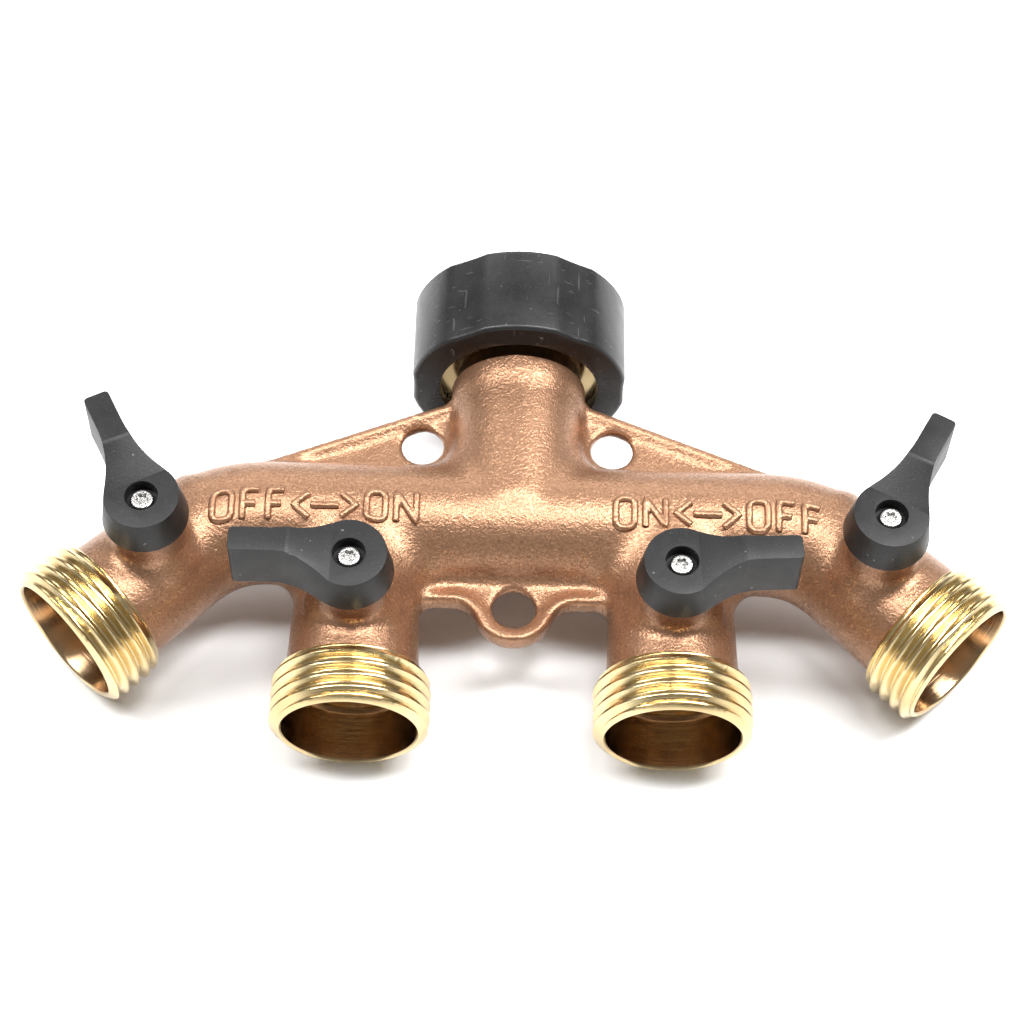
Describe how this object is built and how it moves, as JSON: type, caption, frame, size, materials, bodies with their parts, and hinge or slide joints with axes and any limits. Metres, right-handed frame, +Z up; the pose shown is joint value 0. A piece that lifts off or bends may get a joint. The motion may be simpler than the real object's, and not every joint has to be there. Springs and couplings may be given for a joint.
{
  "type": "hose splitter",
  "caption": "Garden hose splitter: a cast manifold with a swivel tap nut, ball-valved threaded outlets, small black levers and wall screw holes.",
  "frame": {"origin": "on the surface that the part lies on, under the middle of its bounding box", "axes": "+X along the manifold, +Y from the outlets to the tap, +Z up, towards the levers"},
  "size_m": [0.1686, 0.0858, 0.0474],
  "materials": {
    "cast_body": "cast, bronze-coloured coat with a fine orange peel",
    "turned_brass": "turned, bright",
    "chrome_ball": "polished",
    "seat_plastic": "waxy white",
    "seal_rubber": "matt",
    "black_plastic": "satin moulding",
    "nut_plastic": "satin moulding with light scratches",
    "zinc_screw": "bright zinc",
    "spring_steel": "bright"
  },
  "bodies": {
    "manifold": {"manifold_body": "cast_body", "outer_left_outer_seat": "seat_plastic", "outer_left_inner_seat": "seat_plastic", "outer_left_gland": "turned_brass", "inner_left_outer_seat": "seat_plastic", "inner_left_inner_seat": "seat_plastic", "inner_left_gland": "turned_brass", "inner_right_outer_seat": "seat_plastic", "inner_right_inner_seat": "seat_plastic", "inner_right_gland": "turned_brass", "outer_right_outer_seat": "seat_plastic", "outer_right_inner_seat": "seat_plastic", "outer_right_gland": "turned_brass", "nut_snap_ring": "spring_steel"},
    "union_nut": {"nut_cover": "nut_plastic", "nut_insert": "turned_brass", "inlet_washer": "seal_rubber"},
    "outer_left_valve": {"outer_left_lever": "black_plastic", "outer_left_lever_screw": "zinc_screw", "outer_left_stem": "turned_brass", "outer_left_stem_rings": "seal_rubber", "outer_left_ball": "chrome_ball"},
    "inner_left_valve": {"inner_left_lever": "black_plastic", "inner_left_lever_screw": "zinc_screw", "inner_left_stem": "turned_brass", "inner_left_stem_rings": "seal_rubber", "inner_left_ball": "chrome_ball"},
    "inner_right_valve": {"inner_right_lever": "black_plastic", "inner_right_lever_screw": "zinc_screw", "inner_right_stem": "turned_brass", "inner_right_stem_rings": "seal_rubber", "inner_right_ball": "chrome_ball"},
    "outer_right_valve": {"outer_right_lever": "black_plastic", "outer_right_lever_screw": "zinc_screw", "outer_right_stem": "turned_brass", "outer_right_stem_rings": "seal_rubber", "outer_right_ball": "chrome_ball"}
  },
  "joints": [
    {"name": "nut_swivel", "type": "hinge", "parent": "manifold", "child": "union_nut", "pos_m": [0, 0.0279, 0.01935], "axis": [0, 1, 0], "continuous": true},
    {"name": "outer_left_lever_turn", "type": "hinge", "parent": "manifold", "child": "outer_left_valve", "pos_m": [-0.06109, -0.01279, 0.01935], "axis": [0, 0, -1], "range_deg": [-17.4, 72.6]},
    {"name": "inner_left_lever_turn", "type": "hinge", "parent": "manifold", "child": "inner_left_valve", "pos_m": [-0.0268, -0.0225, 0.01935], "axis": [0, 0, -1], "range_deg": [0, 90]},
    {"name": "inner_right_lever_turn", "type": "hinge", "parent": "manifold", "child": "inner_right_valve", "pos_m": [0.0268, -0.0225, 0.01935], "axis": [0, 0, 1], "range_deg": [-3, 87]},
    {"name": "outer_right_lever_turn", "type": "hinge", "parent": "manifold", "child": "outer_right_valve", "pos_m": [0.06109, -0.01279, 0.01935], "axis": [0, 0, 1], "range_deg": [-15.9, 74.1]}
  ]
}
